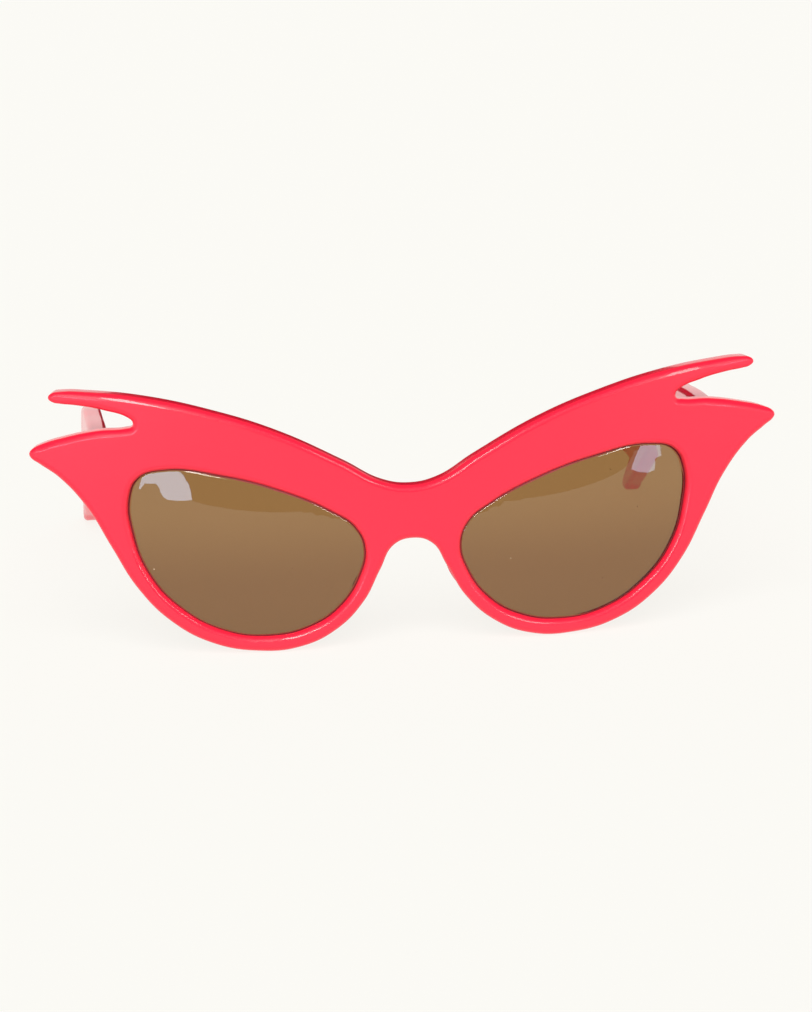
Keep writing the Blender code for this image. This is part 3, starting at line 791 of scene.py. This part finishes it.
# % Lamp and room
LAMP_ELEVATION = math.radians(45)
LAMP_SIDE = math.radians(-8)
LAMP_STRENGTH = 3.4
LAMP_BREADTH = math.radians(50)
HORIZON = (0.30, "FAF9F6")
CEILING = (0.50, "6C6C6C")
lamp_data = bpy.data.lights.new("broad_front_lamp", "SUN")
lamp_data.energy = LAMP_STRENGTH
lamp_data.angle = LAMP_BREADTH
lamp = bpy.data.objects.new("broad_front_lamp", lamp_data)
lamp.rotation_euler = (math.pi / 2 - LAMP_ELEVATION, 0.0, LAMP_SIDE)
lamp.visible_glossy = False
bpy.context.scene.collection.objects.link(lamp)

world = bpy.data.worlds.new("bright_horizon_and_dim_ceiling")
bpy.context.scene.world = world
world.use_nodes = True
sky = world.node_tree
direction = add_node(sky, "ShaderNodeTexCoord")
parts = add_node(sky, "ShaderNodeSeparateXYZ", None, {"Vector": direction.outputs["Generated"]})
ramp = add_node(sky, "ShaderNodeValToRGB", None, {"Fac": parts.outputs["Z"]})
for stop, (position, code) in zip(ramp.color_ramp.elements, (HORIZON, CEILING)):
    stop.position = position
    stop.color = linear(code)
background = sky.nodes["Background"]
sky.links.new(ramp.outputs["Color"], background.inputs["Color"])
bpy.context.scene.view_settings.view_transform = "Standard"
print("lamp and room set")

# %% [markdown]
# ## Flag, soft boxes and strips
#
# A polished edge only looks polished when it has something bright and something dark to show. A black
# flag hangs in front of the glasses, and its sagging lower hem draws the curved line across the lenses.
# Low soft boxes of cool daylight stand at its two sides and show as the pale patch in the corner of each
# lens. Tall strip lights in front of it draw the streaks on the brow, and a dark card behind keeps the
# brow's top edge red. Each is one flat mesh that only reflections see, so it adds no light of its own to
# the glasses and casts no shadow on them. The places of the cards were worked back from where the
# reflections should fall on these lenses, so they don't record how any real studio was set up.
#
# Distances run along the room and heights from the table. The flag's hem is a shallow bow; the soft
# boxes have straight, sloping lower edges, given as a height at each end.

# %% Flag, soft boxes and strips
CARD_DISTANCE = -416.0
STRIP_DISTANCE = -408.0
BEHIND_DISTANCE = 260.0
HEM_LOWEST = (20.0, 11.0)
HEM_BOW = 0.0006
FLAG_STEPS = 24
FLAG_SPAN = (-160.0, 246.0)
BLACK = "050505"
DAYLIGHT = "CDE3FF"
WARM_WHITE = "FFFDF8"


def reflector(name, steps, bottoms, top, distance, colour, glow):
    """An upright card that only shows in reflections, from its lower edge up to a level top."""
    points = [(x * MM, distance * MM, bottom * MM) for x, bottom in zip(steps, bottoms)]
    points += [(x * MM, distance * MM, top * MM) for x in steps]
    count = len(steps)
    faces = [(i, i + 1, i + 1 + count, i + count) for i in range(count - 1)]
    mesh = bpy.data.meshes.new(name)
    mesh.from_pydata(points, [], faces)
    card = bpy.data.objects.new(name, mesh)
    bpy.context.scene.collection.objects.link(card)
    mat, _, shader = new_material(name)
    set_shader(shader, {"Base Color": linear(colour), "Roughness": 1.0, "Specular IOR Level": 0.0,
                        "Emission Color": linear(colour), "Emission Strength": glow})
    mesh.materials.append(mat)
    card.visible_camera = False
    card.visible_diffuse = False
    card.visible_transmission = False
    card.visible_shadow = False


flag_steps = np.linspace(*FLAG_SPAN, FLAG_STEPS)
hem = HEM_LOWEST[1] + HEM_BOW * (flag_steps - HEM_LOWEST[0]) ** 2
reflector("black_flag", flag_steps, hem, 420.0, CARD_DISTANCE, BLACK, 0.0)
reflector("dark_card_behind", (-55.0, 95.0), (1.0, 1.0), 300.0, BEHIND_DISTANCE, BLACK, 0.0)
reflector("low_soft_box_left", (-232.0, -160.0), (19.4, 31.5), 78.0, CARD_DISTANCE, DAYLIGHT, 8.9)
reflector("low_soft_box_right", (246.0, 284.0), (33.0, 18.5), 78.0, CARD_DISTANCE, DAYLIGHT, 7.0)
reflector("strip_light_left", (-142.0, -95.0), (85.0, 85.0), 400.0, STRIP_DISTANCE, WARM_WHITE, 20.0)
reflector("strip_light_right", (172.0, 219.0), (85.0, 85.0), 400.0, STRIP_DISTANCE, WARM_WHITE, 14.0)
print("flag and lamps hung")
